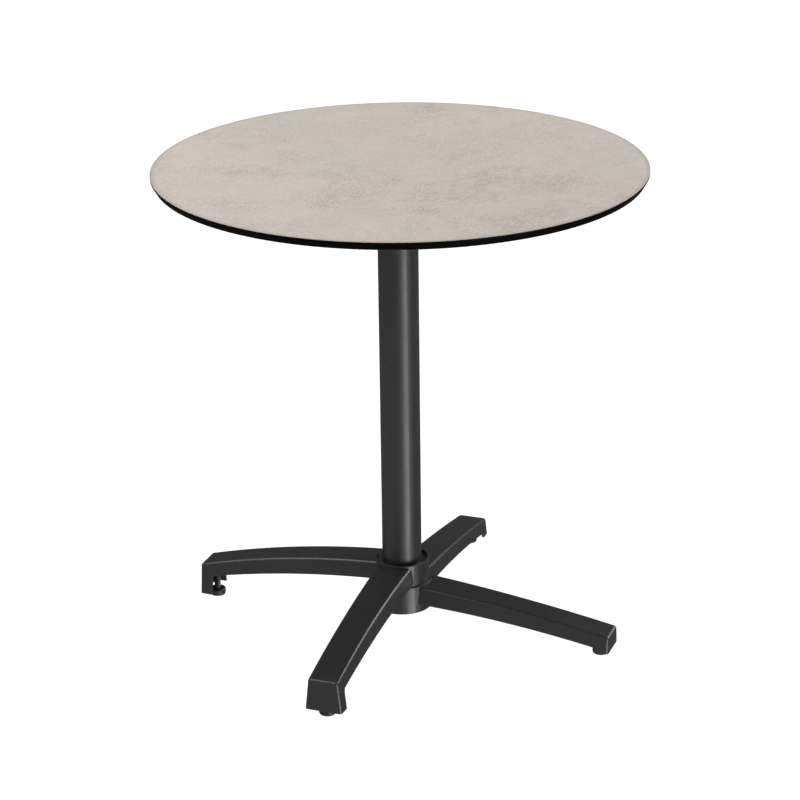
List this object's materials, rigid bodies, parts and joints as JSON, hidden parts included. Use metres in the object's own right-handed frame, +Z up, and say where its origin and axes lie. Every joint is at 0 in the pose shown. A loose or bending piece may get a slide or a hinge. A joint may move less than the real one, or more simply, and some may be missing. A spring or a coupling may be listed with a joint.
{
  "type": "bistro table",
  "caption": "Round bistro table: thin laminate top with a dark undercut edge that tilts upright, round column, nesting base of stacked V-shaped arms, levelling glides.",
  "frame": {"origin": "on the floor plane, on the axis of the column", "axes": "+Z up; the tilt axis runs along X; the upper arm pair opens towards -Y and the lower arm pair towards +Y"},
  "size_m": [0.7199, 0.72, 0.73],
  "materials": {
    "decor": "matt concrete-look laminate, cloudy mottling",
    "phenolic_core": "satin black compact-laminate core, cut edge",
    "coated_tube": "satin black powder coat",
    "cast_alloy": "die-cast aluminium, satin black powder coat",
    "coated_steel": "satin black powder coat",
    "zinc_steel": "zinc-plated",
    "spring_steel": "dark oiled spring steel",
    "stem_steel": "rolled thread, dulled zinc",
    "brass": "turned brass",
    "white_nylon": "natural nylon",
    "black_nylon": "moulded, fine texture",
    "glide_plastic": "moulded polyethylene",
    "black_rubber": "matt moulded rubber"
  },
  "bodies": {
    "base": {"pivot_bushes": "white_nylon", "column_head": "cast_alloy", "rest_pads": "black_rubber", "clamp_bolt": "zinc_steel", "clamp_washers": "zinc_steel", "column_tube": "coated_tube", "tie_rod": "zinc_steel", "tie_washer": "zinc_steel", "tie_nut": "zinc_steel", "upper_arm_casting": "cast_alloy", "lower_arm_casting": "cast_alloy", "hub_dowels": "spring_steel", "thread_inserts": "zinc_steel"},
    "tilting_top": {"tabletop_core": "phenolic_core", "decor_sheet": "decor", "backing_sheet": "phenolic_core", "top_inserts": "brass", "top_screws": "zinc_steel", "top_washers": "zinc_steel", "tilt_plate": "coated_steel", "tilt_lug_left": "coated_steel", "tilt_lug_right": "coated_steel", "pivot_pin": "zinc_steel", "pivot_clip": "spring_steel"},
    "clamp_lever": {"lever_nut": "zinc_steel", "lever_handle": "black_nylon", "lever_cap": "black_nylon"},
    "pad_front_left": {"glide_pad_front_left": "glide_plastic"},
    "stem_front_left": {"glide_stem_front_left": "stem_steel"},
    "pad_front_right": {"glide_pad_front_right": "glide_plastic"},
    "stem_front_right": {"glide_stem_front_right": "stem_steel"},
    "pad_back_right": {"glide_pad_back_right": "glide_plastic"},
    "stem_back_right": {"glide_stem_back_right": "stem_steel"},
    "pad_back_left": {"glide_pad_back_left": "glide_plastic"},
    "stem_back_left": {"glide_stem_back_left": "stem_steel"}
  },
  "joints": [
    {"name": "top_tilt", "type": "hinge", "parent": "base", "child": "tilting_top", "pos_m": [0, -0.006, 0.678], "axis": [1, 0, 0], "range_deg": [0, 90]},
    {"name": "lever_turn", "type": "hinge", "parent": "base", "child": "clamp_lever", "pos_m": [0.04, 0.02031, 0.68758], "axis": [1, 0, 0], "range_deg": [0, 85]},
    {"name": "glide_travel_front_left", "type": "slide", "parent": "base", "child": "pad_front_left", "axis": [0, 0, -1], "range_m": [0, 0.006]},
    {"name": "stem_turn_front_left", "type": "hinge", "parent": "pad_front_left", "child": "stem_front_left", "pos_m": [-0.22097, -0.22097, 0.01], "axis": [0, 0, -1], "range_deg": [0, 1440.5]},
    {"name": "glide_travel_front_right", "type": "slide", "parent": "base", "child": "pad_front_right", "axis": [0, 0, -1], "range_m": [0, 0.006]},
    {"name": "stem_turn_front_right", "type": "hinge", "parent": "pad_front_right", "child": "stem_front_right", "pos_m": [0.22097, -0.22097, 0.01], "axis": [0, 0, -1], "range_deg": [0, 1440.5]},
    {"name": "glide_travel_back_right", "type": "slide", "parent": "base", "child": "pad_back_right", "axis": [0, 0, -1], "range_m": [0, 0.006]},
    {"name": "stem_turn_back_right", "type": "hinge", "parent": "pad_back_right", "child": "stem_back_right", "pos_m": [0.22451, 0.22451, 0.01], "axis": [0, 0, -1], "range_deg": [0, 1440.5]},
    {"name": "glide_travel_back_left", "type": "slide", "parent": "base", "child": "pad_back_left", "axis": [0, 0, -1], "range_m": [0, 0.006]},
    {"name": "stem_turn_back_left", "type": "hinge", "parent": "pad_back_left", "child": "stem_back_left", "pos_m": [-0.22451, 0.22451, 0.01], "axis": [0, 0, -1], "range_deg": [0, 1440.5]}
  ],
  "couplings": [
    {"joint": "stem_turn_front_left", "follows": "glide_travel_front_left", "rad_per_m": 4188.8},
    {"joint": "stem_turn_front_right", "follows": "glide_travel_front_right", "rad_per_m": 4188.8},
    {"joint": "stem_turn_back_right", "follows": "glide_travel_back_right", "rad_per_m": 4188.8},
    {"joint": "stem_turn_back_left", "follows": "glide_travel_back_left", "rad_per_m": 4188.8}
  ]
}
